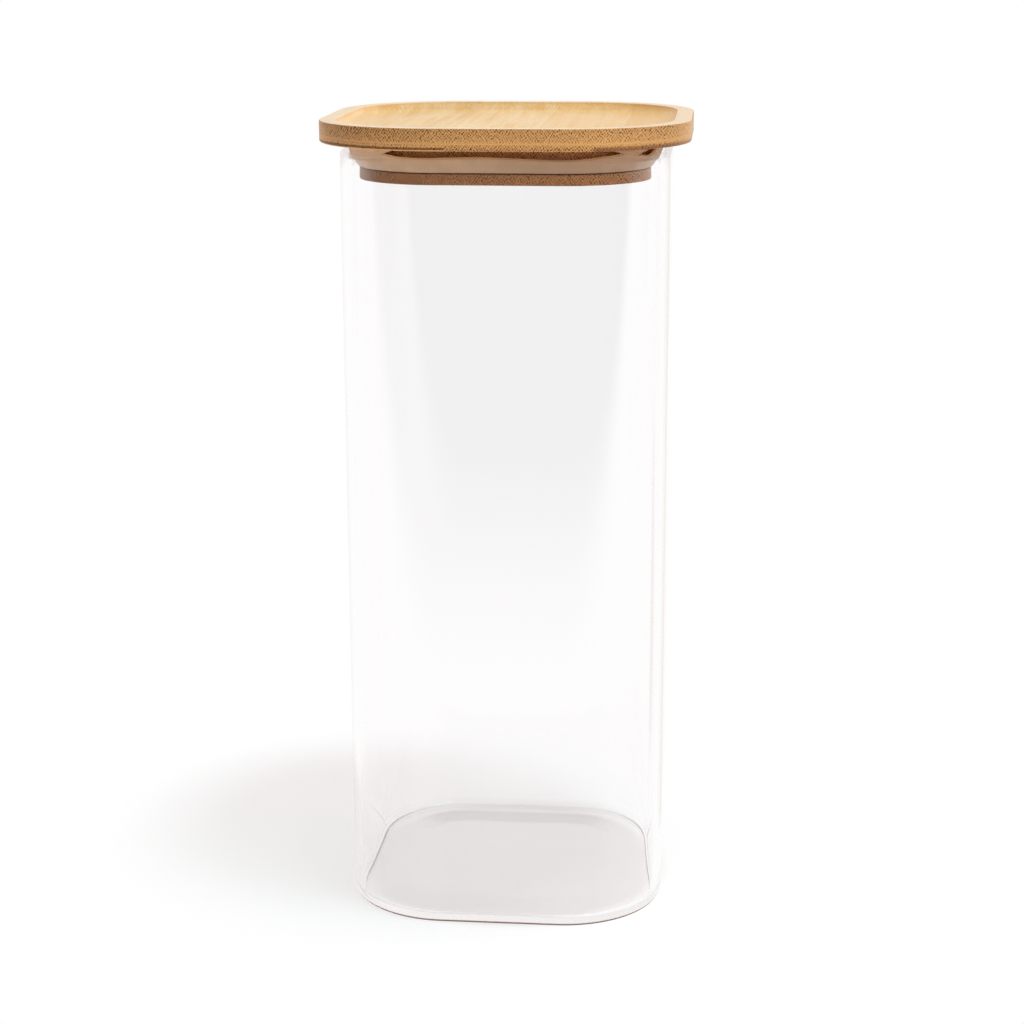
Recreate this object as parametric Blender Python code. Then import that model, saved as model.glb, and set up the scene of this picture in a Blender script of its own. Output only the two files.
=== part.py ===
"""Square glass storage jar with a tray-topped bamboo lid and a silicone seal.

Metres, +Z up. The jar stands on z = 0, centred on the Z axis, with its front towards -Y.
Run it with blender --background --python part.py, or from Blender's text editor.
"""

import math

import bmesh
import bpy

# Glass body
GLASS_WIDTH = 0.107
GLASS_HEIGHT = 0.2559
GLASS_CORNER = 0.034
GLASS_WALL = 0.0026
GLASS_FLOOR = 0.0024
FOOT_FILLET = 0.0022
FOOT_RING = 0.0085
PUSH_UP = 0.0006
PUSH_UP_SLOPE = 0.0080
INNER_FILLET = 0.0020

# Bamboo board of the lid
LID_OVERHANG = 0.0065
LID_STANDOFF = 0.0028
BOARD_THICKNESS = 0.0069
BOARD_TOP_ROUND = 0.0005
BOARD_BOTTOM_ROUND = 0.0009
TRAY_RIM = 0.0056
TRAY_DEPTH = 0.0030
TRAY_COVE_WIDTH = 0.0080

# Bamboo plug glued under the board
SEAL_ROOM = 0.0036
GLUE_LINE = 0.0003
NECK_HEIGHT = 0.0031
GROOVE_HEIGHT = 0.0048
GROOVE_DEPTH = 0.0020
COLLAR_HEIGHT = 0.0034
COLLAR_ROUND = 0.0004

# Silicone seal in the plug's groove
SEAL_GAP = 0.0003
LIP_HEIGHT = 0.0052
LIP_THICKNESS = 0.0009
LIP_RISE = 0.0023
LIP_RISE_SPAN = 0.0170
LIP_TILT = math.radians(60)

# The lip's outer face from its root to its tip: shares of its reach and of its height
LIP_FACE_SHARES = ((0.42, 0.24), (0.72, 0.50), (0.92, 0.76), (1.0, 0.92))
# Height at which the lip's inner face leaves the band, as a share of the lip's height
LIP_CROTCH_SHARE = 0.30

# Facets
CORNER_STEPS = 11
FILLET_STEPS = 5
COVE_STEPS = 7
ROUND_STEPS = 3
RIM_STEPS = 6
SMOOTH_ANGLE = math.radians(35)

# Places that follow from the sizes above
GLASS_HALF = GLASS_WIDTH / 2
BOARD_HALF = GLASS_HALF + LID_OVERHANG
BOARD_CORNER = GLASS_CORNER + LID_OVERHANG
BOARD_BOTTOM = GLASS_HEIGHT + LID_STANDOFF
BOARD_TOP = BOARD_BOTTOM + BOARD_THICKNESS
PLUG_INSET = GLASS_WALL + SEAL_ROOM
PLUG_HALF = GLASS_HALF - PLUG_INSET
PLUG_CORNER = GLASS_CORNER - PLUG_INSET
PLUG_TOP = BOARD_BOTTOM - GLUE_LINE
GROOVE_TOP = PLUG_TOP - NECK_HEIGHT
COLLAR_TOP = GROOVE_TOP - GROOVE_HEIGHT
PLUG_BOTTOM = COLLAR_TOP - COLLAR_HEIGHT
LIP_REACH = SEAL_ROOM - SEAL_GAP


def clear_scene():
    for item in list(bpy.data.objects):
        bpy.data.objects.remove(item)


def rounded_square(half, radius):
    """Corner arcs of a rounded square, anticlockwise: each point with its turn from the corner's diagonal."""
    points = []
    centre = half - radius
    for quarter in range(4):
        diagonal = math.pi / 4 + quarter * math.pi / 2
        for step in range(CORNER_STEPS + 1):
            turn = (step / CORNER_STEPS - 0.5) * math.pi / 2
            x = math.copysign(centre, math.cos(diagonal)) + radius * math.cos(diagonal + turn)
            y = math.copysign(centre, math.sin(diagonal)) + radius * math.sin(diagonal + turn)
            points.append((x, y, turn))
    return points


def arc(centre, radius, start, end, steps):
    """Profile points (inset, height) along an arc, its angles in degrees from the inset direction."""
    points = []
    for step in range(steps + 1):
        angle = math.radians(start + (end - start) * step / steps)
        inset = centre[0] + radius * math.cos(angle)
        height = centre[1] + radius * math.sin(angle)
        points.append((inset, height))
    return points


def flat_ring(half, radius, inset, height):
    return [(x, y, height) for x, y, _ in rounded_square(half - inset, radius - inset)]


def loft(name, rings, closed):
    """Mesh object through rings that run anticlockwise: capped at both ends, or closed into a hoop."""
    bm = bmesh.new()
    loops = [[bm.verts.new(point) for point in ring] for ring in rings]
    pairs = list(zip(loops, loops[1:]))
    if closed:
        pairs.append((loops[-1], loops[0]))
    else:
        bm.faces.new(reversed(loops[0]))
        bm.faces.new(loops[-1])
    for low, high in pairs:
        for k in range(len(low)):
            after = (k + 1) % len(low)
            bm.faces.new((low[k], low[after], high[after], high[k]))
    mesh = bpy.data.meshes.new(name)
    bm.to_mesh(mesh)
    bm.free()
    mesh.shade_smooth()
    mesh.set_sharp_from_angle(angle=SMOOTH_ANGLE)
    made = bpy.data.objects.new(name, mesh)
    bpy.context.scene.collection.objects.link(made)
    return made


def profile_loft(name, half, radius, profile):
    """Solid whose side follows a profile of (inset, height) points round a rounded square."""
    return loft(name, [flat_ring(half, radius, inset, height) for inset, height in profile], False)


def glass_profile():
    """From the middle of the underside, up the outer wall, over the rim and down to the inner floor."""
    ring_inner = FOOT_FILLET + FOOT_RING
    rim_radius = GLASS_WALL / 2
    inner_edge = GLASS_WALL + INNER_FILLET
    profile = [(ring_inner + PUSH_UP_SLOPE, PUSH_UP), (ring_inner, 0)]
    profile += arc((FOOT_FILLET, FOOT_FILLET), FOOT_FILLET, 270, 180, FILLET_STEPS)
    profile += arc((rim_radius, GLASS_HEIGHT - rim_radius), rim_radius, 180, 0, RIM_STEPS)
    profile += arc((inner_edge, GLASS_FLOOR + INNER_FILLET), INNER_FILLET, 180, 270, FILLET_STEPS)
    return profile


def board_profile():
    """From the underside, round the edge, over the flat rim and down the cove to the tray's floor."""
    low, high = BOARD_BOTTOM_ROUND, BOARD_TOP_ROUND
    profile = arc((low, BOARD_BOTTOM + low), low, 270, 180, ROUND_STEPS)
    profile += arc((high, BOARD_TOP - high), high, 180, 90, ROUND_STEPS)
    profile += [(TRAY_RIM, BOARD_TOP)]
    for step in range(1, COVE_STEPS + 1):
        angle = math.pi / 2 * step / COVE_STEPS
        inset = TRAY_RIM + TRAY_COVE_WIDTH * (1 - math.cos(angle))
        profile.append((inset, BOARD_TOP - TRAY_DEPTH * math.sin(angle)))
    return profile


def plug_profile():
    """From the underside, up the collar, in and out again round the groove, and up the neck."""
    profile = arc((COLLAR_ROUND, PLUG_BOTTOM + COLLAR_ROUND), COLLAR_ROUND, 270, 180, ROUND_STEPS)
    profile += [(0, COLLAR_TOP), (GROOVE_DEPTH, COLLAR_TOP)]
    profile += [(GROOVE_DEPTH, GROOVE_TOP), (0, GROOVE_TOP), (0, PLUG_TOP)]
    return profile


def seal_section():
    """Closed section of the seal: (reach out from the plug's wall, height above the collar, rise share)."""
    band_inner = SEAL_GAP - GROOVE_DEPTH
    band_top = GROOVE_HEIGHT - SEAL_GAP
    outer = [(LIP_REACH * out, LIP_HEIGHT * up, up * up) for out, up in LIP_FACE_SHARES]
    back = (-LIP_THICKNESS * math.sin(LIP_TILT), LIP_THICKNESS * math.cos(LIP_TILT))
    inner = [(reach + back[0], height + back[1], rise) for reach, height, rise in reversed(outer)]
    tip = (LIP_REACH - LIP_THICKNESS / 2, LIP_HEIGHT + LIP_THICKNESS / 4, 1)
    section = [(band_inner, SEAL_GAP, 0), (0, SEAL_GAP, 0)] + outer + [tip] + inner
    section += [(0, LIP_HEIGHT * LIP_CROTCH_SHARE, 0), (0, band_top, 0), (band_inner, band_top, 0)]
    return section


def lip_rise(turn):
    """Extra height of the lip's edge: full on a corner's diagonal, none LIP_RISE_SPAN away along the arc."""
    along = abs(turn) * (PLUG_CORNER + LIP_REACH) / LIP_RISE_SPAN
    return LIP_RISE * math.cos(min(along, 1) * math.pi / 2) ** 2


def seal_rings():
    rings = []
    for reach, height, share in seal_section():
        outline = rounded_square(PLUG_HALF + reach, PLUG_CORNER + reach)
        rings.append([(x, y, COLLAR_TOP + height + share * lip_rise(turn)) for x, y, turn in outline])
    return rings


def glass_material():
    material, shader = new_material("clear_glass", (0.93, 0.95, 0.95), 0.02)
    shader.inputs["Transmission Weight"].default_value = 1
    shader.inputs["IOR"].default_value = 1.47
    return material


def board_material():
    return new_material("honey_bamboo", (0.72, 0.47, 0.22), 0.5)[0]


def plug_material():
    return new_material("shaded_bamboo", (0.52, 0.33, 0.17), 0.55)[0]


def seal_material():
    material, shader = new_material("milky_silicone", (0.60, 0.52, 0.44), 0.4)
    shader.inputs["Transmission Weight"].default_value = 0.4
    return material


def new_material(name, color, roughness):
    material = bpy.data.materials.new(name)
    material.use_nodes = True
    shader = material.node_tree.nodes["Principled BSDF"]
    shader.inputs["Base Color"].default_value = (*color, 1)
    shader.inputs["Roughness"].default_value = roughness
    shader.inputs["Metallic"].default_value = 0
    material.diffuse_color = (*color, 1)
    return material, shader


def lid_axis():
    """Empty on the axis along which the whole lid lifts off, at the height of the glass rim."""
    axis = bpy.data.objects.new("lid_axis", None)
    axis.location = (0, 0, GLASS_HEIGHT)
    bpy.context.scene.collection.objects.link(axis)
    return axis


def hang_on(parent, child):
    """Parents the child without moving it: its mesh is already in world coordinates."""
    child.parent = parent
    child.matrix_parent_inverse = parent.matrix_world.inverted()


def build():
    clear_scene()
    glass = profile_loft("glass_body", GLASS_HALF, GLASS_CORNER, glass_profile())
    glass.data.materials.append(glass_material())
    board = profile_loft("lid_board", BOARD_HALF, BOARD_CORNER, board_profile())
    board.data.materials.append(board_material())
    plug = profile_loft("lid_plug", PLUG_HALF, PLUG_CORNER, plug_profile())
    plug.data.materials.append(plug_material())
    seal = loft("silicone_seal", seal_rings(), True)
    seal.data.materials.append(seal_material())
    axis = lid_axis()
    bpy.context.view_layer.update()
    for piece in (board, plug, seal):
        hang_on(axis, piece)


build()
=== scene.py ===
"""Looks of the square glass storage jar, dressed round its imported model.

Metres, +Z up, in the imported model's frame: the jar stands on z = 0 and its front faces -Y.
"""

import math

import bmesh
import bpy
from mathutils import Matrix, Quaternion, Vector


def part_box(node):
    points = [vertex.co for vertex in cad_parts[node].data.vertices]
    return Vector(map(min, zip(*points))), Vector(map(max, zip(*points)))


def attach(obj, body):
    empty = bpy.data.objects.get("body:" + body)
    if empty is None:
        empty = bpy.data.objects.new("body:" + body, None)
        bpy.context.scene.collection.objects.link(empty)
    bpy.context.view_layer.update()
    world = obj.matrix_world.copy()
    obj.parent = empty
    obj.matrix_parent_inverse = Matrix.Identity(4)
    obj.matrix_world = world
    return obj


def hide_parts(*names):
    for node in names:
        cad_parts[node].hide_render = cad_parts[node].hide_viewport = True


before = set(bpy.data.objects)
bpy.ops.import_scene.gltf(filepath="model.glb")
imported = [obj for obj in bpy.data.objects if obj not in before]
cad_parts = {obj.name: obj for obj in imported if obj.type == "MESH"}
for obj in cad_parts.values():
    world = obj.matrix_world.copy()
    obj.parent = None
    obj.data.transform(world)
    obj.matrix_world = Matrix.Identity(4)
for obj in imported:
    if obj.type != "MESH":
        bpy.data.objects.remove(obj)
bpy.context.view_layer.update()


def srgb(red, green, blue):
    """Linear colour with alpha from 0 to 255 display values."""
    def linear(value):
        share = value / 255
        return share / 12.92 if share <= 0.04045 else ((share + 0.055) / 1.055) ** 2.4
    return (linear(red), linear(green), linear(blue), 1)


WHITE = (1, 1, 1, 1)

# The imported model's own sizes
GLASS_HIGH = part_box("glass_body")[1]
BOARD_LOW, BOARD_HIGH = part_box("lid_board")
PLUG_LOW, PLUG_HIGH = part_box("lid_plug")
SEAL_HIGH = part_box("silicone_seal")[1]
GLASS_HALF, GLASS_TOP = GLASS_HIGH.x, GLASS_HIGH.z
BOARD_HALF, BOARD_BOTTOM, BOARD_TOP = BOARD_HIGH.x, BOARD_LOW.z, BOARD_HIGH.z
PLUG_HALF, PLUG_BOTTOM, PLUG_TOP = PLUG_HIGH.x, PLUG_LOW.z, PLUG_HIGH.z

# Glass body
GLASS_CORNER = 0.034
GLASS_WALL = 0.0026
GLASS_FLOOR = 0.0024
FOOT_FILLET = 0.0022
FOOT_RING = 0.0085
PUSH_UP = 0.0006
PUSH_UP_SLOPE = 0.0080
INNER_FILLET = 0.0020
# The inner wall strays in slow waves. They start one fade below the rim and are full two fades below it.
WALL_WANDER = 0.00010
WANDER_FADE = 0.030
# Each wave's share of the wander, its count round the jar, its start, and its turn in radians per metre up
WANDER_WAVES = ((0.5, 2, 1.3, 18.0), (0.3, 3, -0.7, -31.0), (0.2, 5, 0.4, 12.0))

# Bamboo board
BOARD_CORNER = GLASS_CORNER + BOARD_HALF - GLASS_HALF
BOARD_TOP_ROUND = 0.0005
BOARD_BOTTOM_ROUND = 0.0005
TRAY_RIM = 0.0056
TRAY_DEPTH = 0.0030
TRAY_COVE_WIDTH = 0.0080
TRAY_LIP_ROUND = 0.0003

# Bamboo plug
PLUG_CORNER = GLASS_CORNER - GLASS_HALF + PLUG_HALF
COLLAR_HEIGHT = 0.0034
COLLAR_ROUND = 0.0004
COLLAR_TOP_ROUND = 0.0002
GROOVE_HEIGHT = 0.0048
GROOVE_DEPTH = 0.0020
COLLAR_TOP = PLUG_BOTTOM + COLLAR_HEIGHT
GROOVE_TOP = COLLAR_TOP + GROOVE_HEIGHT

# Silicone seal
SEAL_GAP = 0.0003
SEAL_BOTTOM_ROUND = 0.0004
LIP_REACH = SEAL_HIGH.x - PLUG_HALF
LIP_HEIGHT = 0.0052
LIP_THICKNESS = 0.0009
LIP_TILT = math.radians(60)
# The lip's outer face from its root to its tip: shares of its reach and of its height
LIP_FACE_SHARES = (
    (0.22, 0.10), (0.42, 0.24), (0.58, 0.36), (0.72, 0.50), (0.83, 0.63), (0.92, 0.76), (0.98, 0.86),
    (1.0, 0.93),
)
# The inner face follows the outer one from this point on, and leaves the band at this share of the height
LIP_INNER_FROM = 2
LIP_CROTCH_SHARE = 0.30
# Height of the lip's edge above its level, in metres, at marks in degrees about the Z axis from +X
LIP_EDGE = (
    (0, 0.0001), (12, 0.0003), (24, 0.0002), (31, 0.0003), (35, 0.0012), (38, 0.0023), (51, 0.0023),
    (54, 0.0012), (58, 0.0002), (84, -0.0003), (100, 0.0002), (118, 0.0001), (124, 0.0006), (128, 0.0023),
    (142, 0.0023), (146, 0.0008), (152, 0.0001), (180, 0.0003), (196, -0.0001), (202, 0.0003),
    (206, 0.0014), (209, 0.0022), (212, 0.0023), (227.5, 0.0023), (229.5, 0.0017), (232.0, 0.0008),
    (234.5, 0.0004), (238.0, 0.0), (246, -0.0002), (252, 0.0), (265, 0.0002), (279, -0.0002),
    (291, -0.0006), (297, -0.0005), (300.5, -0.0002), (304.3, 0.0002), (307.7, 0.0005), (311.8, 0.0010),
    (314.2, 0.0019), (315.4, 0.0023), (316.8, 0.0012), (318.1, 0.0008), (319.3, 0.0004), (321.9, -0.0001),
    (324.5, -0.0002), (327.0, 0.0004), (330, 0.0013), (334, 0.0018), (340, 0.0014), (346, 0.0006),
    (353, 0.0), (360, 0.0001),
)
# How far the edge leans along the lip, in degrees, where it turns back over the end of an opening
LIP_LEAN = (
    (0, 0), (222, 0), (227.5, 4.0), (229.5, 5.1), (232.0, 0), (311.8, 0), (314.2, -5.2), (315.4, -2.0),
    (316.8, 7.4), (318.1, 3.2), (319.3, 0), (360, 0),
)
# Power of the rise share that the lean follows, which keeps it to the edge
LEAN_FADE = 16

# Fineness of the meshes
WALL_SPACING = 0.006
CORNER_STEPS = 32
SIDE_STEPS = 14
LIP_FINENESS = 4
FILLET_STEPS = 12
ROUND_STEPS = 5
RIM_STEPS = 16
COVE_STEPS = 18
FLOOR_STEPS = 96
# Rings between a flat end's outline and its middle, as shares of the outline
CAP_SHARES = (0.92, 0.7, 0.4, 0.15)
SMOOTH_ANGLE = math.radians(40)

# A name that ends in STEP holds a smooth step: its start, its end, and the values before and after it.

# Bamboo's texture works in millimetres, with the fibres along Y, X to the right and Z up.
# A name that ends in SCALE holds how fast a noise runs along X, Y and Z.
MM_PER_METRE = 1000.0
# Fibre bundles: how far apart they lie across and up, and by how much slow and quick noise shifts them
FIBRE_SPACING = 0.92
FIBRE_ROWS = 1.12
STRAY_SCALE = (0.05, 0.018, 0.05)
STRAY_ACROSS = 2.4
STRAY_UP = 1.6
WEAVE_SCALE = (0.50, 0.05, 0.50)
WEAVE = 1.9
DOT_STEP = (-0.15, 0.35, 0.0, 1.0)
SINGLE_SCALE = (1.3, 0.05, 1.3)
SINGLE_STEP = (0.35, 0.60, 0.35, 1.0)
# Upper layer: its strips from the first one's left edge on, how bright they are and how golden their grain
UPPER_STRIPS_FROM = -70.0
UPPER_STRIP_WIDTH = 27.0
STRIP_TONES = (0.97, 0.97, 1.0, 1.0, 0.97)
STRIP_GOLD = (0.18, 0.05, 0.0, 0.35, 0.70)
# Lower layer: its top as a share of the thickness, and where its three strips meet
SEAM_SHARE = 0.345
LOWER_SEAMS = (-15.0, 31.0)
# Above the seam every strip has the same dots and tones up the board: (place share, value share)
UPPER_DOT_SHARES = (
    (0.335, 0.15), (0.36, 0.15), (0.39, 0.55), (0.44, 0.70), (0.70, 0.85), (0.86, 0.92), (0.975, 0.90),
    (1.0, 0.4),
)
UPPER_TONE_SHARES = (
    (0.32, 1.12), (0.335, 1.12), (0.35, 0.84), (0.362, 0.84), (0.377, 1.12), (0.395, 1.12), (0.42, 0.98),
    (0.80, 0.94), (1.0, 0.84),
)
# Below it the left, middle and right strips differ
LEFT_DOT_SHARES = (
    (0.0, 0.25), (0.045, 0.30), (0.075, 1.0), (0.15, 1.0), (0.20, 0.50), (0.275, 0.65), (0.31, 0.30),
)
MIDDLE_DOT_SHARES = ((0.0, 0.80), (0.07, 1.0), (0.18, 1.0), (0.26, 0.70), (0.31, 0.25))
RIGHT_DOT_SHARES = ((0.0, 0.80), (0.17, 0.90), (0.21, 0.60), (0.30, 0.30))
LEFT_TONE_SHARES = (
    (0.0, 1.15), (0.045, 1.12), (0.07, 0.34), (0.15, 0.38), (0.185, 1.06), (0.24, 1.14), (0.275, 0.90),
    (0.305, 0.95),
)
MIDDLE_TONE_SHARES = ((0.0, 0.92), (0.07, 0.80), (0.10, 0.84), (0.15, 0.98), (0.27, 0.94), (0.305, 0.96))
RIGHT_TONE_SHARES = ((0.0, 0.34), (0.12, 0.40), (0.19, 0.64), (0.23, 0.98), (0.27, 0.92), (0.305, 0.94))
BOARD_DOTS = [low + UPPER_DOT_SHARES for low in (LEFT_DOT_SHARES, MIDDLE_DOT_SHARES, RIGHT_DOT_SHARES)]
BOARD_TONES = [low + UPPER_TONE_SHARES for low in (LEFT_TONE_SHARES, MIDDLE_TONE_SHARES, RIGHT_TONE_SHARES)]
# The plug's dots and tones are even all the way up
PLUG_SHARES = 3 * (((0.0, 0.95), (1.0, 0.95)),)
# The end grain from left to right: painted shade that darkens it towards the left, a painted sheen at its
# far left, and its dots
FACE_PAINTED_SHADE_STEP = (-52.0, 24.0, 0.80, 0.93)
LEFT_PAINTED_SHEEN_STEP = (-59.0, -48.0, 0.20, 0.0)
FACE_DOT_STEP = (-45.0, 5.0, 1.3, 1.0)
END_FIBRE_SHARE = 0.95
TONE_RED_POWER = 0.8
TONE_BLUE_POWER = 1.15
# Where a face counts as end or side grain, by the parts of its normal, and what one that looks inward loses
LEVEL_AXES = (1.0, 1.0, 0.0)
LEAST_UPRIGHT = 0.6
END_GRAIN_STEP = (0.15, 0.62, 0.0, 1.0)
SIDE_GRAIN_STEP = (0.30, 0.95, 0.0, 1.0)
INWARD_LOSS = 0.75
# Long grain: clouds and patches turn it from pale to honey, threads run along it, and the flat top round the
# tray has a painted pale sheen
CLOUD_SCALE = (0.42, 0.016, 0.42)
CLOUD_STEP = (0.30, 0.72, 0.0, 1.0)
PATCH_SCALE = (0.09, 0.022, 0.0)
PATCH_STEP = (0.30, 0.70, 0.2, 1.1)
THREAD_SCALE = (1.9, 0.14, 1.9)
THREAD_ROUGHNESS = 0.6
THREAD_STEP = (0.42, 0.75, 0.0, 0.55)
FINE_DETAIL = 3.0
TOP_EDGE_SHEEN_STEP = (0.965, 0.995, 0.0, 0.55)
TOP_EDGE_SHEEN_COLOUR = srgb(252, 232, 210)
LONG_DOT_SHARE = 0.22
# Side grain: darker threads on the ground of the ends
SIDE_THREAD_STEP = (0.35, 0.75, 0.0, 0.40)
SIDE_GRAIN_SHARE = 0.80
SIDE_DIMMING = 0.16
# Surface of the wood: how rough it is, with what ends and threads add, and the depth of its grain in metres
WOOD_ROUGHNESS = 0.34
END_ROUGHER = 0.10
THREAD_ROUGHER = 0.12
WOOD_SPECULAR = 0.25
GRAIN_DEPTH = 0.00004
GRAIN_STRENGTH = 0.4
# Colours of the pale grain, the honey grain, the ground of the ends, and the fibres
BOARD_COLOURS = (srgb(250, 216, 166), srgb(240, 186, 112), srgb(235, 173, 106), srgb(58, 22, 4))
# The plug's colours are darker than the board's: painted shade for its place under the board
PLUG_SHADED_COLOURS = (srgb(196, 140, 86), srgb(176, 118, 68), srgb(208, 144, 88), srgb(58, 26, 8))

# Milky silicone, which deepens from left to right; its lengths and those that follow are in metres
MILK_SCALE = (160.0, 160.0, 160.0)
MILK_STEP = (0.3, 0.7, 0.0, 1.0)
MILK_COLOURS = (srgb(237, 197, 159), srgb(225, 185, 147))
SEAL_DEEP_STEP = (-PLUG_HALF, PLUG_HALF, 0.0, 0.8)
SEAL_DEEP_COLOUR = srgb(188, 148, 116)
SEAL_ROUGHNESS = 0.42
SEAL_IOR = 1.41
SEAL_TRANSMISSION = 0.12
SEAL_SUBSURFACE = 0.25
SEAL_GLOW_SHARES = (1.0, 0.8, 0.6)
SEAL_GLOW_DEPTH = 0.0015
MILK_DEPTH = 0.0001
MILK_STRENGTH = 0.3

# Clear glass, which absorbs a little light on the way through
GLASS_COLOUR = (1.0, 0.995, 0.996, 1)
GLASS_IOR = 1.47
GLASS_INSIDE_COLOUR = (0.965, 0.950, 0.950, 1)
GLASS_INSIDE_DENSITY = 40.0
# Its tint for light from the lamps, square on and at a grazing angle
EDGE_BLEND = 0.35
LAMP_TINT = (0.965, 0.960, 0.960, 1)
LAMP_EDGE_TINT = (0.74, 0.73, 0.73, 1)
# A ray that has turned inside the glass too often is let out, sooner below the foot's height than above it.
# Its last leg has to be longer than half a millimetre.
FOOT_TRAP_HEIGHT = 0.020
FOOT_TRAP_DEPTH = 5.5
WALL_TRAP_DEPTH = 9.5
# Above the foot it leaves with a painted brownish shade, for the dimmer light it would bring out of the wall
WALL_TRAP_SHADE = (0.84, 0.77, 0.72, 1)
SHORTEST_LEG = 0.0005
# Straight sight passes the rim's top and the foot's lowest line, and each has its own tint; the foot's is a
# painted dark line, a painted reflection of the shadow where the jar meets the floor
RIM_CLEAR_DEPTH = 0.0020
RIM_CLEAR_SPAN = 0.0008
RIM_CLEAR_FROM = GLASS_TOP - RIM_CLEAR_DEPTH
RIM_CLEAR_STEP = (RIM_CLEAR_FROM, RIM_CLEAR_FROM + RIM_CLEAR_SPAN, 0.0, 0.9)
# At a grazing angle straight sight turns grey: painted faint edge lines
RIM_EDGE_SHADE = (0.90, 0.89, 0.885, 1)
FOOT_SHADOW_LINE_STEP = (0.0010, 0.0015, 1.0, 0.0)
FOOT_SHADOW_LINE_COLOUR = (0.26, 0.20, 0.16, 1)

# Camera, fitted to the outlines in the photograph, taken as 1024 pixels wide; angles in degrees
CAMERA_PLACE = (0.0720, -0.7475, 0.3230)
CAMERA_HEADING = 5.5
CAMERA_PITCH = 14.42
CAMERA_ROLL = -0.18
FOCAL_PIXELS = 2247
IMAGE_PIXELS = 1024
SENSOR_WIDTH = 36.0
CAMERA_REACH = 48.0

# Lamps: the direction in which they stand, their distance and size, and how they light a level floor
KEY_DIRECTION = (0.311, -0.242, 0.917)
KEY_DISTANCE = 1.6
KEY_SIZE = (0.22, 0.60)
KEY_LEVEL = 0.22
KEY_COLOUR = (0.62, 1.0, 1.0)
SIDE_DIRECTION = (0.80, -0.45, 0.60)
SIDE_DISTANCE = 1.7
SIDE_SIZE = (1.6, 1.6)
SIDE_LEVEL = 0.08
SIDE_COLOUR = (1.0, 0.955, 0.95)

# World: its light from left to right and from front to middle, then how it shows in glass and gloss,
# from front to middle and from the horizon up. Its steps go by the parts of a direction of length 1.
WORLD_LEVEL = 0.92
WORLD_COLOUR = (1.0, 0.945, 0.94, 1)
LIGHT_ACROSS_STEP = (-1.0, 1.0, 0.74, 1.14)
LIGHT_FRONT_STEP = (-0.95, 0.0, 0.65, 1.0)
SHOWN_FRONT_STEP = (-0.95, -0.35, 0.20, 1.0)
SHOWN_CEILING_STEP = (0.30, 0.85, 1.0, 0.30)

# Floor: plain white away from the middle of the shadow, a share of it there, and painted shade under the
# jar, dimmer and warmer
FLOOR_RADIUS = 12.0
FLOOR_DROP = 0.0002
FLOOR_COLOUR = (0.975, 0.975, 0.975, 1)
FLOOR_ROUGHNESS = 0.9
SHADOW_PLACE = (-0.045, 0.030, 0.0)
FLOOR_WHITE_STEP = (0.060, 0.115, 0.44, 1.0)
UNDER_JAR_STEP = (0.050, 0.057, 1.0, 0.0)
UNDER_JAR_DIMMING = 0.42
UNDER_JAR_SHADE_COLOUR = (1.0, 0.945, 0.93, 1)
# How white it shows in glass and gloss, by its place along Y
FLOOR_FRONT_STEP = (-0.60, -0.25, 0.20, 1.0)

# Rays: how often they may turn, and below which depth they are taken to pass straight through the walls
PATH_BOUNCES = 32
STRAIGHT_DEPTH = 4.5
FACES_PER_WALL = 2.0

# Sockets of a Mix node for each kind: the share, the first and second value, and the result
MIX_SOCKETS = {"RGBA": (0, 6, 7, 2), "FLOAT": (0, 2, 3, 0)}


def rounded_square(half, radius, fineness=1):
    """Points round a rounded square, anticlockwise."""
    points = []
    centre = half - radius
    corner_steps = CORNER_STEPS * fineness
    for quarter in range(4):
        diagonal = math.radians(45 + 90 * quarter)
        corner_x = math.copysign(centre, math.cos(diagonal))
        corner_y = math.copysign(centre, math.sin(diagonal))
        for step in range(corner_steps + 1):
            turn = math.radians(90 * step / corner_steps - 45)
            x = corner_x + radius * math.cos(diagonal + turn)
            y = corner_y + radius * math.sin(diagonal + turn)
            points.append((x, y))
        heading = diagonal + math.radians(135)
        for step in range(1, SIDE_STEPS):
            along = 2 * centre * step / SIDE_STEPS
            points.append((x + along * math.cos(heading), y + along * math.sin(heading)))
    return points


def on_rounded_square(half, radius, angle):
    """Where a ray from the middle, at an angle in radians, crosses a rounded square."""
    across, along = sorted((abs(math.cos(angle)), abs(math.sin(angle))))
    centre = half - radius
    reach = half / along
    if reach * across > centre:
        middle = centre * (across + along)
        reach = middle + math.sqrt(middle ** 2 - 2 * centre ** 2 + radius ** 2)
    return reach * math.cos(angle), reach * math.sin(angle)


def arc(centre, radius, start, end, steps):
    """Profile points (inset, height) along an arc, its angles in degrees from the inset direction."""
    points = []
    for step in range(steps + 1):
        angle = math.radians(start + (end - start) * step / steps)
        points.append((centre[0] + radius * math.cos(angle), centre[1] + radius * math.sin(angle)))
    return points


def flat_ring(half, radius, inset, height):
    return [(x, y, height) for x, y in rounded_square(half - inset, radius - inset)]


def shrunk(ring, share):
    return [(x * share, y * share, z) for x, y, z in ring]


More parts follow.
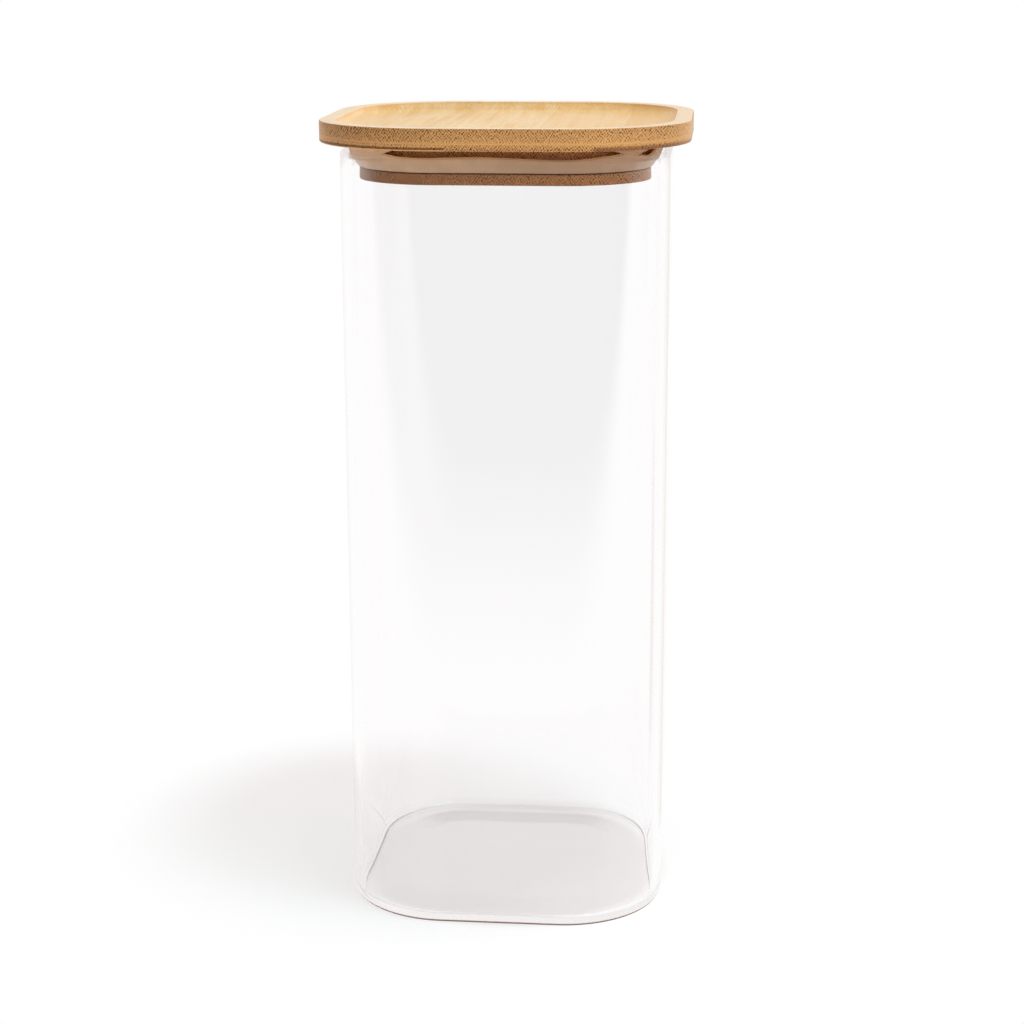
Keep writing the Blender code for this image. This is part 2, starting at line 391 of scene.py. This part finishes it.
def loft(name, rings, closed):
    """Smooth mesh object through anticlockwise rings: capped at both ends, or closed into a hoop."""
    if not closed:
        low_cap = [shrunk(rings[0], share) for share in reversed(CAP_SHARES)]
        high_cap = [shrunk(rings[-1], share) for share in CAP_SHARES]
        rings = low_cap + rings + high_cap
    bm = bmesh.new()
    loops = [[bm.verts.new(point) for point in ring] for ring in rings]
    pairs = list(zip(loops, loops[1:]))
    if closed:
        pairs.append((loops[-1], loops[0]))
    else:
        bm.faces.new(reversed(loops[0]))
        bm.faces.new(loops[-1])
    for low, high in pairs:
        for k in range(len(low)):
            after = (k + 1) % len(low)
            bm.faces.new((low[k], low[after], high[after], high[k]))
    mesh = bpy.data.meshes.new(name)
    bm.to_mesh(mesh)
    bm.free()
    mesh.shade_smooth()
    mesh.set_sharp_from_angle(angle=SMOOTH_ANGLE)
    made = bpy.data.objects.new(name, mesh)
    bpy.context.scene.collection.objects.link(made)
    return made


def wander(x, y, height):
    """How far the inner wall strays outward at a place, in metres."""
    angle = math.atan2(y, x)
    fade = min(max((GLASS_TOP - WANDER_FADE - height) / WANDER_FADE, 0), 1)
    waves = sum(a * math.sin(n * angle + start + turn * height) for a, n, start, turn in WANDER_WAVES)
    return WALL_WANDER * fade * waves


def strayed(ring):
    moved = []
    for x, y, z in ring:
        share = 1 + wander(x, y, z) / GLASS_HALF
        moved.append((x * share, y * share, z))
    return moved


def wall_heights(low, high):
    steps = round((high - low) / WALL_SPACING)
    return [low + (high - low) * step / steps for step in range(1, steps)]


def glass_rings():
    """From the middle of the underside, up the outer wall, over the rim and down to the inner floor."""
    half, radius = GLASS_HALF, GLASS_CORNER
    ring_inner = FOOT_FILLET + FOOT_RING
    rim = GLASS_WALL / 2
    inner_edge = GLASS_WALL + INNER_FILLET
    inner_low = GLASS_FLOOR + INNER_FILLET
    outside = [(ring_inner + PUSH_UP_SLOPE, PUSH_UP), (ring_inner, 0)]
    outside += arc((FOOT_FILLET, FOOT_FILLET), FOOT_FILLET, 270, 180, FILLET_STEPS)
    outside += [(0, height) for height in wall_heights(FOOT_FILLET, GLASS_TOP - rim)]
    outside += arc((rim, GLASS_TOP - rim), rim, 180, 0, RIM_STEPS)
    rings = [flat_ring(half, radius, inset, height) for inset, height in outside]
    for height in reversed(wall_heights(inner_low, GLASS_TOP - rim)):
        rings.append(strayed(flat_ring(half, radius, GLASS_WALL, height)))
    fillet = arc((inner_edge, inner_low), INNER_FILLET, 180, 270, FILLET_STEPS)
    rings += [flat_ring(half, radius, inset, height) for inset, height in fillet]
    return rings


def board_rings():
    """From the underside, round the edge, over the flat rim and down the cove to the tray's floor."""
    low, high, lip = BOARD_BOTTOM_ROUND, BOARD_TOP_ROUND, TRAY_LIP_ROUND
    profile = arc((low, BOARD_BOTTOM + low), low, 270, 180, ROUND_STEPS)
    profile += arc((high, BOARD_TOP - high), high, 180, 90, ROUND_STEPS)
    profile += arc((TRAY_RIM - lip, BOARD_TOP - lip), lip, 90, 0, ROUND_STEPS)
    for step in range(1, COVE_STEPS + 1):
        angle = math.radians(90 * step / COVE_STEPS)
        inset = TRAY_RIM + TRAY_COVE_WIDTH * (1 - math.cos(angle))
        profile.append((inset, BOARD_TOP - TRAY_DEPTH * math.sin(angle)))
    return [flat_ring(BOARD_HALF, BOARD_CORNER, inset, height) for inset, height in profile]


def plug_rings():
    """From the underside, up the collar, in and out again round the groove, and up the neck."""
    low, high = COLLAR_ROUND, COLLAR_TOP_ROUND
    profile = arc((low, PLUG_BOTTOM + low), low, 270, 180, ROUND_STEPS)
    profile += arc((high, COLLAR_TOP - high), high, 180, 90, ROUND_STEPS)
    profile += [(GROOVE_DEPTH, COLLAR_TOP), (GROOVE_DEPTH, GROOVE_TOP), (0, GROOVE_TOP), (0, PLUG_TOP)]
    return [flat_ring(PLUG_HALF, PLUG_CORNER, inset, height) for inset, height in profile]


def seal_section():
    """Closed section of the seal: (reach from the plug's wall, height above the collar, rise share)."""
    band_inner = SEAL_GAP - GROOVE_DEPTH
    band_top = GROOVE_HEIGHT - SEAL_GAP
    outer = [(LIP_REACH * out, LIP_HEIGHT * up, up * up) for out, up in LIP_FACE_SHARES]
    back = (-LIP_THICKNESS * math.sin(LIP_TILT), LIP_THICKNESS * math.cos(LIP_TILT))
    followed = reversed(outer[LIP_INNER_FROM:])
    inner = [(reach + back[0], height + back[1], rise) for reach, height, rise in followed]
    tip = (LIP_REACH - LIP_THICKNESS / 2, LIP_HEIGHT + LIP_THICKNESS / 4, 1)
    section = [(band_inner, SEAL_GAP, 0), (-SEAL_BOTTOM_ROUND, SEAL_GAP, 0)]
    section += [(0, SEAL_GAP + SEAL_BOTTOM_ROUND / 2, 0)]
    section += outer + [tip] + inner
    section += [(0, LIP_HEIGHT * LIP_CROTCH_SHARE, 0), (0, band_top, 0), (band_inner, band_top, 0)]
    return section


def eased(marks, angle):
    """Value at an angle in degrees, eased between the (degrees, value) marks of a full turn."""
    for (start, low), (end, high) in zip(marks, marks[1:]):
        if start <= angle <= end:
            share = (angle - start) / (end - start)
            return low + (high - low) * share * share * (3 - 2 * share)


def smooth(marks, angle):
    """Value at an angle in degrees on a smooth curve through the (degrees, value) marks of a full turn."""
    last = len(marks) - 1
    for k in range(last):
        (start, low), (end, high) = marks[k], marks[k + 1]
        if start <= angle <= end:
            before, after = marks[max(k - 1, 0)], marks[min(k + 2, last)]
            rise_in = (high - before[1]) / (end - before[0]) * (end - start)
            rise_out = (after[1] - low) / (after[0] - start) * (end - start)
            s = (angle - start) / (end - start)
            bend = s * (1 - s) * (rise_in * (1 - s) - rise_out * s)
            return low + (high - low) * s * s * (3 - 2 * s) + bend


def seal_rings():
    """The section carried round the plug, its lip raised and leaned by the marks of its edge."""
    rings = []
    for reach, height, share in seal_section():
        half, radius = PLUG_HALF + reach, PLUG_CORNER + reach
        ring = []
        for x, y in rounded_square(half, radius, LIP_FINENESS):
            angle = math.degrees(math.atan2(y, x)) % 360
            lean = eased(LIP_LEAN, angle) * share ** LEAN_FADE
            if lean:
                x, y = on_rounded_square(half, radius, math.radians(angle + lean))
            ring.append((x, y, COLLAR_TOP + height + share * smooth(LIP_EDGE, angle)))
        rings.append(ring)
    return rings


class Shading:
    """The node tree of a material or world, with short calls for the nodes used here."""

    def __init__(self, owner):
        owner.use_nodes = True
        self.owner = owner
        self.nodes = owner.node_tree.nodes
        self.links = owner.node_tree.links

    def feed(self, socket, value):
        if isinstance(value, bpy.types.NodeSocket):
            self.links.new(value, socket)
        else:
            socket.default_value = value

    def node(self, kind, inputs=None, **settings):
        made = self.nodes.new(kind)
        for name, value in settings.items():
            setattr(made, name, value)
        for name, value in (inputs or {}).items():
            self.feed(made.inputs[name], value)
        return made

    def math(self, operation, *values):
        made = self.nodes.new("ShaderNodeMath")
        made.operation = operation
        for socket, value in zip(made.inputs, values):
            self.feed(socket, value)
        return made.outputs[0]

    def less(self, value, share=1.0):
        """1 less a share of the value."""
        return self.math("SUBTRACT", 1.0, self.math("MULTIPLY", value, share))

    def is_zero(self, count):
        """1 where a whole number from 0 is 0."""
        return self.math("LESS_THAN", count, 0.5)

    def wave(self, along, spacing):
        """Cosine with a crest every spacing."""
        return self.math("COSINE", self.math("MULTIPLY", along, 2 * math.pi / spacing))

    def step(self, value, start, end, low, high):
        """Smooth step from low at start to high at end."""
        inputs = {"Value": value, "From Min": start, "From Max": end, "To Min": low, "To Max": high}
        return self.node("ShaderNodeMapRange", inputs, interpolation_type="SMOOTHSTEP").outputs[0]

    def split(self, vector):
        """X, Y and Z of a vector, or red, green and blue of a colour."""
        outputs = self.node("ShaderNodeSeparateXYZ", {"Vector": vector}).outputs
        return outputs["X"], outputs["Y"], outputs["Z"]

    def scaled(self, vector, scales):
        return self.node("ShaderNodeVectorMath", {0: vector, 1: scales}, operation="MULTIPLY").outputs[0]

    def distance(self, vector, point=(0.0, 0.0, 0.0)):
        made = self.node("ShaderNodeVectorMath", {0: vector, 1: point}, operation="DISTANCE")
        return made.outputs["Value"]

    def noise(self, vector, detail=2.0, roughness=0.5, channel="Fac"):
        inputs = {"Vector": vector, "Scale": 1.0, "Detail": detail, "Roughness": roughness}
        return self.node("ShaderNodeTexNoise", inputs).outputs[channel]

    def mix(self, share, first, second, blend="MIX", kind="RGBA"):
        made = self.node("ShaderNodeMix", data_type=kind, blend_type=blend)
        share_at, first_at, second_at, result_at = MIX_SOCKETS[kind]
        self.feed(made.inputs[share_at], share)
        self.feed(made.inputs[first_at], first)
        self.feed(made.inputs[second_at], second)
        return made.outputs[result_at]

    def shaded(self, colour, shade):
        """The colour times a shade, which is a number or a colour."""
        return self.mix(1.0, colour, shade, "MULTIPLY")

    def ramp(self, value, stops):
        """A value that follows (place, height) stops."""
        made = self.node("ShaderNodeValToRGB", {"Fac": value})
        elements = made.color_ramp.elements
        while len(elements) < len(stops):
            elements.new(0.5)
        for element, (place, height) in zip(elements, stops):
            element.position = place
            element.color = (height, height, height, 1)
        return made.outputs["Color"]

    def by_step(self, index, values):
        """The value that belongs to a whole number from 0."""
        places = self.math("DIVIDE", self.math("ADD", index, 0.5), len(values))
        return self.ramp(places, [((k + 0.5) / len(values), value) for k, value in enumerate(values)])

    def by_side(self, is_left, is_right, values):
        """The left, middle or right value."""
        return self.mix(is_right, self.mix(is_left, values[1], values[0]), values[2])

    def bump(self, shader, height, depth, strength):
        made = self.node("ShaderNodeBump", {"Height": height, "Distance": depth, "Strength": strength})
        self.feed(shader.inputs["Normal"], made.outputs["Normal"])

    def surface(self, share, first, second):
        """Shows the first shader at share 0 and the second at 1."""
        made = self.node("ShaderNodeMixShader", {0: share, 1: first, 2: second})
        self.feed(self.nodes["Material Output"].inputs["Surface"], made.outputs["Shader"])


def fibre_dots(s, mm):
    """1 where a bundle of fibres is cut, 0 between bundles, which stray slowly sideways as they run."""
    x, _, z = s.split(mm)
    stray_x, stray_z, _ = s.split(s.noise(s.scaled(mm, STRAY_SCALE), channel="Color"))
    weave_x, weave_z, _ = s.split(s.noise(s.scaled(mm, WEAVE_SCALE), channel="Color"))
    shift_x = s.math("MULTIPLY_ADD", stray_x, STRAY_ACROSS, s.math("MULTIPLY", weave_x, WEAVE))
    shift_z = s.math("MULTIPLY_ADD", stray_z, STRAY_UP, s.math("MULTIPLY", weave_z, WEAVE))
    columns = s.wave(s.math("ADD", x, shift_x), FIBRE_SPACING)
    rows = s.wave(s.math("ADD", z, shift_z), FIBRE_ROWS)
    dot = s.step(s.math("MULTIPLY", columns, rows), *DOT_STEP)
    return s.math("MULTIPLY", dot, s.step(s.noise(s.scaled(mm, SINGLE_SCALE)), *SINGLE_STEP))


def grain_of_faces(s, x, y):
    """How far a face is end grain, which looks to the front or back, and how far it is side grain."""
    normal = s.node("ShaderNodeTexCoord").outputs["Normal"]
    normal_x, normal_y, _ = s.split(normal)
    upright = s.math("MAXIMUM", s.distance(s.scaled(normal, LEVEL_AXES)), LEAST_UPRIGHT)
    ends = s.step(s.math("DIVIDE", s.math("ABSOLUTE", normal_y), upright), *END_GRAIN_STEP)
    inward = s.math("LESS_THAN", s.math("MULTIPLY", normal_y, y), 0.0)
    ends = s.math("MULTIPLY", ends, s.less(inward, INWARD_LOSS))
    sides = s.step(s.math("MULTIPLY", normal_x, s.math("SIGN", x)), *SIDE_GRAIN_STEP)
    return ends, sides


def bamboo(name, low, high, dots, tones, colours):
    """Laminated bamboo whose fibres run along Y: dots where they end in front and behind, streaks elsewhere.

    Dots and tones are ramps up the thickness, for the left, middle and right strips of the lower layer.
    """
    s = Shading(bpy.data.materials.new(name))
    shader = s.nodes["Principled BSDF"]
    pale, honey, end_ground, fibre = colours
    mm = s.scaled(s.node("ShaderNodeTexCoord").outputs["Object"], 3 * (MM_PER_METRE,))
    x, y, z = s.split(mm)
    thickness = (high - low) * MM_PER_METRE
    level = s.math("DIVIDE", s.math("SUBTRACT", z, low * MM_PER_METRE), thickness)
    dot = fibre_dots(s, mm)
    ends, sides = grain_of_faces(s, x, y)
    threads = s.noise(s.scaled(mm, THREAD_SCALE), FINE_DETAIL, THREAD_ROUGHNESS)

    # Strips side by side in two layers, each with its own tone
    strip = s.math("FLOOR", s.math("DIVIDE", s.math("SUBTRACT", x, UPPER_STRIPS_FROM), UPPER_STRIP_WIDTH))
    is_left = s.math("LESS_THAN", x, LOWER_SEAMS[0])
    is_right = s.math("GREATER_THAN", x, LOWER_SEAMS[1])
    strength = s.by_side(is_left, is_right, [s.ramp(level, shares) for shares in dots])
    strength = s.math("MULTIPLY", s.math("MULTIPLY", dot, strength), s.step(x, *FACE_DOT_STEP))
    tone = s.by_side(is_left, is_right, [s.ramp(level, shares) for shares in tones])
    tone_inputs = {
        "Red": s.math("POWER", tone, TONE_RED_POWER),
        "Green": tone,
        "Blue": s.math("POWER", tone, TONE_BLUE_POWER),
    }
    tone_colour = s.node("ShaderNodeCombineColor", tone_inputs).outputs[0]

    # Long grain on the top, in the tray and underneath
    clouds = s.step(s.noise(s.scaled(mm, CLOUD_SCALE)), *CLOUD_STEP)
    patches = s.step(s.noise(s.scaled(mm, PATCH_SCALE), FINE_DETAIL), *PATCH_STEP)
    long_grain = s.mix(s.math("MULTIPLY", clouds, patches), pale, honey)
    long_grain = s.mix(s.step(threads, *THREAD_STEP), long_grain, honey)
    long_grain = s.mix(s.by_step(strip, STRIP_GOLD), long_grain, honey)
    # Painted pale sheen on the flat top round the tray
    long_grain = s.mix(s.step(level, *TOP_EDGE_SHEEN_STEP), long_grain, TOP_EDGE_SHEEN_COLOUR)
    long_grain = s.mix(s.math("MULTIPLY", dot, LONG_DOT_SHARE), long_grain, end_ground)

    # Side grain to the left and right, end grain in front and behind
    side_grain = s.shaded(s.mix(s.step(threads, *SIDE_THREAD_STEP), end_ground, fibre), tone_colour)
    end_grain = s.shaded(end_ground, tone_colour)
    end_grain = s.mix(s.math("MULTIPLY", strength, END_FIBRE_SHARE), end_grain, fibre)
    # Painted shade darkens the end grain towards the left, and a painted sheen lightens its far left
    face_shade_and_sheen = s.math("ADD", s.step(x, *FACE_PAINTED_SHADE_STEP), s.step(x, *LEFT_PAINTED_SHEEN_STEP))
    end_grain = s.shaded(end_grain, face_shade_and_sheen)
    colour = s.mix(s.math("MULTIPLY", sides, SIDE_GRAIN_SHARE), long_grain, side_grain)
    colour = s.mix(ends, colour, end_grain)
    strip_change = s.math("SUBTRACT", s.by_step(strip, STRIP_TONES), 1.0)
    in_upper = s.math("GREATER_THAN", level, SEAM_SHARE)
    shade = s.math("ADD", s.math("MULTIPLY", strip_change, in_upper), 1.0)
    shade = s.math("MULTIPLY", shade, s.less(sides, SIDE_DIMMING))
    s.feed(shader.inputs["Base Color"], s.shaded(colour, shade))

    rough = s.math("ADD", s.math("MULTIPLY", threads, THREAD_ROUGHER), WOOD_ROUGHNESS)
    s.feed(shader.inputs["Roughness"], s.math("ADD", s.math("MULTIPLY", ends, END_ROUGHER), rough))
    s.feed(shader.inputs["Specular IOR Level"], WOOD_SPECULAR)
    s.bump(shader, s.math("SUBTRACT", threads, dot), GRAIN_DEPTH, GRAIN_STRENGTH)
    return s.owner


def board_material():
    return bamboo("honey_bamboo", BOARD_BOTTOM, BOARD_TOP, BOARD_DOTS, BOARD_TONES, BOARD_COLOURS)


def plug_material():
    return bamboo("shaded_bamboo", PLUG_BOTTOM, PLUG_TOP, PLUG_SHARES, PLUG_SHARES, PLUG_SHADED_COLOURS)


def silicone_material():
    """Milky silicone that lets the wood behind it glow through."""
    s = Shading(bpy.data.materials.new("milky_silicone"))
    shader = s.nodes["Principled BSDF"]
    place = s.node("ShaderNodeTexCoord").outputs["Object"]
    milk = s.noise(s.scaled(place, MILK_SCALE))
    colour = s.mix(s.step(milk, *MILK_STEP), *MILK_COLOURS)
    colour = s.mix(s.step(s.split(place)[0], *SEAL_DEEP_STEP), colour, SEAL_DEEP_COLOUR)
    s.feed(shader.inputs["Base Color"], colour)
    s.feed(shader.inputs["Roughness"], SEAL_ROUGHNESS)
    s.feed(shader.inputs["IOR"], SEAL_IOR)
    s.feed(shader.inputs["Transmission Weight"], SEAL_TRANSMISSION)
    s.feed(shader.inputs["Subsurface Weight"], SEAL_SUBSURFACE)
    s.feed(shader.inputs["Subsurface Radius"], SEAL_GLOW_SHARES)
    s.feed(shader.inputs["Subsurface Scale"], SEAL_GLOW_DEPTH)
    s.bump(shader, milk, MILK_DEPTH, MILK_STRENGTH)
    return s.owner


def glass_material():
    """Clear glass, mixed with plain see-through for lamps' light, trapped rays and some straight sight, with
    a painted dark shadow line at the foot.
    """
    s = Shading(bpy.data.materials.new("clear_glass"))
    shader = s.nodes["Principled BSDF"]
    s.feed(shader.inputs["Base Color"], GLASS_COLOUR)
    s.feed(shader.inputs["Roughness"], 0.0)
    s.feed(shader.inputs["IOR"], GLASS_IOR)
    s.feed(shader.inputs["Transmission Weight"], 1.0)
    rays = s.node("ShaderNodeLightPath").outputs
    depth = rays["Ray Depth"]
    height = s.split(s.node("ShaderNodeTexCoord").outputs["Object"])[2]
    at_edge = s.node("ShaderNodeLayerWeight", {"Blend": EDGE_BLEND}).outputs["Facing"]

    # Rays that have turned too often inside the glass
    in_wall = s.math("GREATER_THAN", height, FOOT_TRAP_HEIGHT)
    deepest = s.math("MULTIPLY_ADD", in_wall, WALL_TRAP_DEPTH - FOOT_TRAP_DEPTH, FOOT_TRAP_DEPTH)
    long_leg = s.math("GREATER_THAN", rays["Ray Length"], SHORTEST_LEG)
    trapped = s.math("MULTIPLY", s.math("GREATER_THAN", depth, deepest), long_leg)

    # Straight sight at the rim, at the foot's painted shadow line and out of the back of a face
    leaving = s.node("ShaderNodeNewGeometry").outputs["Backfacing"]
    rim = s.step(height, *RIM_CLEAR_STEP)
    shadow_line = s.step(height, *FOOT_SHADOW_LINE_STEP)
    straight = s.is_zero(depth)
    sight = s.math("MULTIPLY", s.math("MAXIMUM", s.math("MAXIMUM", rim, shadow_line), leaving), straight)
    on_shadow_line = s.math("MULTIPLY", s.math("GREATER_THAN", shadow_line, 0.0), s.less(leaving))

    tint = s.mix(at_edge, LAMP_TINT, LAMP_EDGE_TINT)
    # Painted brownish shade for rays let out of the wall above the foot
    tint = s.mix(trapped, tint, s.mix(in_wall, WHITE, WALL_TRAP_SHADE))
    # Painted grey edge lines where straight sight passes at a grazing angle
    tint = s.mix(s.math("GREATER_THAN", sight, 0.0), tint, s.mix(at_edge, WHITE, RIM_EDGE_SHADE))
    # Painted shadow line: straight sight at the foot's line turns dark brown
    tint = s.mix(s.math("MULTIPLY", on_shadow_line, straight), tint, FOOT_SHADOW_LINE_COLOUR)
    clear = s.node("ShaderNodeBsdfTransparent", {"Color": tint})
    lamp = s.math("MAXIMUM", rays["Is Shadow Ray"], rays["Is Diffuse Ray"])
    share = s.math("MAXIMUM", s.math("MAXIMUM", lamp, trapped), sight)
    s.surface(share, shader.outputs["BSDF"], clear.outputs["BSDF"])
    inside_inputs = {"Color": GLASS_INSIDE_COLOUR, "Density": GLASS_INSIDE_DENSITY}
    inside = s.node("ShaderNodeVolumeAbsorption", inside_inputs)
    s.feed(s.nodes["Material Output"].inputs["Volume"], inside.outputs["Volume"])
    return s.owner


def dress(name, rings, closed, material, body, node):
    piece = loft(name, rings, closed)
    piece.data.materials.append(material)
    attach(piece, body)
    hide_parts(node)


def make_jar():
    dress("jar_glass", glass_rings(), False, glass_material(), "jar", "glass_body")
    dress("bamboo_board", board_rings(), False, board_material(), "lid", "lid_board")
    dress("bamboo_plug", plug_rings(), False, plug_material(), "lid", "lid_plug")
    dress("flared_seal", seal_rings(), True, silicone_material(), "lid", "silicone_seal")


def seen_straight(s, rays):
    """1 for glass rays that passed straight through one or two walls: each wall adds two to their depth."""
    near = s.math("LESS_THAN", rays["Ray Depth"], STRAIGHT_DEPTH)
    onward = s.is_zero(s.math("MODULO", rays["Ray Depth"], FACES_PER_WALL))
    return s.math("MULTIPLY", rays["Is Transmission Ray"], s.math("MULTIPLY", near, onward))


def seen_in_glass(s, rays):
    """1 for mirror and glass rays, 0 for the camera's and for those that carry light onto surfaces."""
    return s.math("MAXIMUM", rays["Is Glossy Ray"], rays["Is Transmission Ray"])


def floor_material():
    """Pale matt floor that keeps the jar's shadow, has painted warm shade under the jar, and turns to plain
    white away from it.
    """
    s = Shading(bpy.data.materials.new("studio_floor"))
    shader = s.nodes["Principled BSDF"]
    s.feed(shader.inputs["Base Color"], FLOOR_COLOUR)
    s.feed(shader.inputs["Roughness"], FLOOR_ROUGHNESS)
    s.feed(shader.inputs["Specular IOR Level"], 0.0)
    rays = s.node("ShaderNodeLightPath").outputs
    place = s.node("ShaderNodeTexCoord").outputs["Object"]
    under = s.step(s.distance(place), *UNDER_JAR_STEP)
    seen = s.math("MAXIMUM", rays["Is Camera Ray"], seen_in_glass(s, rays))
    share = s.step(s.distance(place, SHADOW_PLACE), *FLOOR_WHITE_STEP)
    # Painted shade: less white under the jar
    share = s.math("MULTIPLY", s.math("MULTIPLY", share, s.less(under, UNDER_JAR_DIMMING)), seen)
    dim = s.step(s.split(place)[1], *FLOOR_FRONT_STEP)
    level = s.math("MAXIMUM", dim, s.math("MAXIMUM", rays["Is Camera Ray"], seen_straight(s, rays)))
    # Painted warm shade under the jar
    white_inputs = {"Color": s.mix(under, WHITE, UNDER_JAR_SHADE_COLOUR), "Strength": level}
    white = s.node("ShaderNodeEmission", white_inputs)
    s.surface(share, shader.outputs["BSDF"], white.outputs["Emission"])
    return s.owner


def make_floor():
    bm = bmesh.new()
    bmesh.ops.create_circle(bm, cap_ends=True, segments=FLOOR_STEPS, radius=FLOOR_RADIUS)
    mesh = bpy.data.meshes.new("studio_floor")
    bm.to_mesh(mesh)
    bm.free()
    floor = bpy.data.objects.new("studio_floor", mesh)
    floor.location.z = -FLOOR_DROP
    floor.data.materials.append(floor_material())
    bpy.context.scene.collection.objects.link(floor)


def make_world():
    """White to the eye; as light, an even glow that is dimmer from the left and the front."""
    world = bpy.data.worlds.new("studio_world")
    bpy.context.scene.world = world
    s = Shading(world)
    background = s.nodes["Background"]
    rays = s.node("ShaderNodeLightPath").outputs
    across, along, up = s.split(s.node("ShaderNodeTexCoord").outputs["Generated"])
    light = s.math("MULTIPLY", s.step(across, *LIGHT_ACROSS_STEP), WORLD_LEVEL)
    light = s.math("MULTIPLY", light, s.step(along, *LIGHT_FRONT_STEP))
    shown = s.math("MULTIPLY", s.step(along, *SHOWN_FRONT_STEP), s.step(up, *SHOWN_CEILING_STEP))
    strength = s.mix(seen_in_glass(s, rays), light, shown, kind="FLOAT")
    plain = s.math("MAXIMUM", rays["Is Camera Ray"], seen_straight(s, rays))
    s.feed(background.inputs["Strength"], s.mix(plain, strength, 1.0, kind="FLOAT"))
    seen = s.math("MAXIMUM", rays["Is Camera Ray"], rays["Is Transmission Ray"])
    s.feed(background.inputs["Color"], s.mix(seen, WORLD_COLOUR, WHITE))


def soft_light(name, direction, distance, size, level, colour):
    """Rectangular lamp aimed at the jar, which lights a level floor at its middle by that level."""
    towards = Vector(direction).normalized()
    along = Vector((0, 1, 0)) - towards * towards.y
    along.normalize()
    lamp = bpy.data.lights.new(name, "AREA")
    lamp.shape = "RECTANGLE"
    lamp.size, lamp.size_y = size
    lamp.energy = level * math.pi ** 2 * distance ** 2 / towards.z
    lamp.color = colour
    made = bpy.data.objects.new(name, lamp)
    made.location = towards * distance
    made.rotation_euler = Matrix((along.cross(towards), along, towards)).transposed().to_euler()
    bpy.context.scene.collection.objects.link(made)


def make_lights():
    soft_light("key_light", KEY_DIRECTION, KEY_DISTANCE, KEY_SIZE, KEY_LEVEL, KEY_COLOUR)
    soft_light("side_light", SIDE_DIRECTION, SIDE_DISTANCE, SIDE_SIZE, SIDE_LEVEL, SIDE_COLOUR)


def make_camera():
    data = bpy.data.cameras.new("photo_camera")
    data.sensor_width = SENSOR_WIDTH
    data.lens = FOCAL_PIXELS * SENSOR_WIDTH / IMAGE_PIXELS
    data.clip_end = CAMERA_REACH
    camera = bpy.data.objects.new("photo_camera", data)
    bpy.context.scene.collection.objects.link(camera)
    camera.location = CAMERA_PLACE
    heading = Quaternion((0, 0, 1), math.radians(CAMERA_HEADING))
    pitch = Quaternion((1, 0, 0), math.radians(90 - CAMERA_PITCH))
    roll = Quaternion((0, 0, 1), math.radians(CAMERA_ROLL))
    camera.rotation_mode = "QUATERNION"
    camera.rotation_quaternion = heading @ pitch @ roll
    bpy.context.scene.camera = camera


def let_light_through():
    """Enough bounces for light that runs along inside the glass walls to come out again."""
    cycles = bpy.context.scene.cycles
    cycles.max_bounces = PATH_BOUNCES
    cycles.glossy_bounces = PATH_BOUNCES
    cycles.transmission_bounces = PATH_BOUNCES
    cycles.transparent_max_bounces = PATH_BOUNCES


def main():
    make_camera()
    make_jar()
    make_floor()
    make_world()
    make_lights()
    let_light_through()
    bpy.context.scene.view_settings.view_transform = "Standard"


main()
bpy.context.view_layer.update()
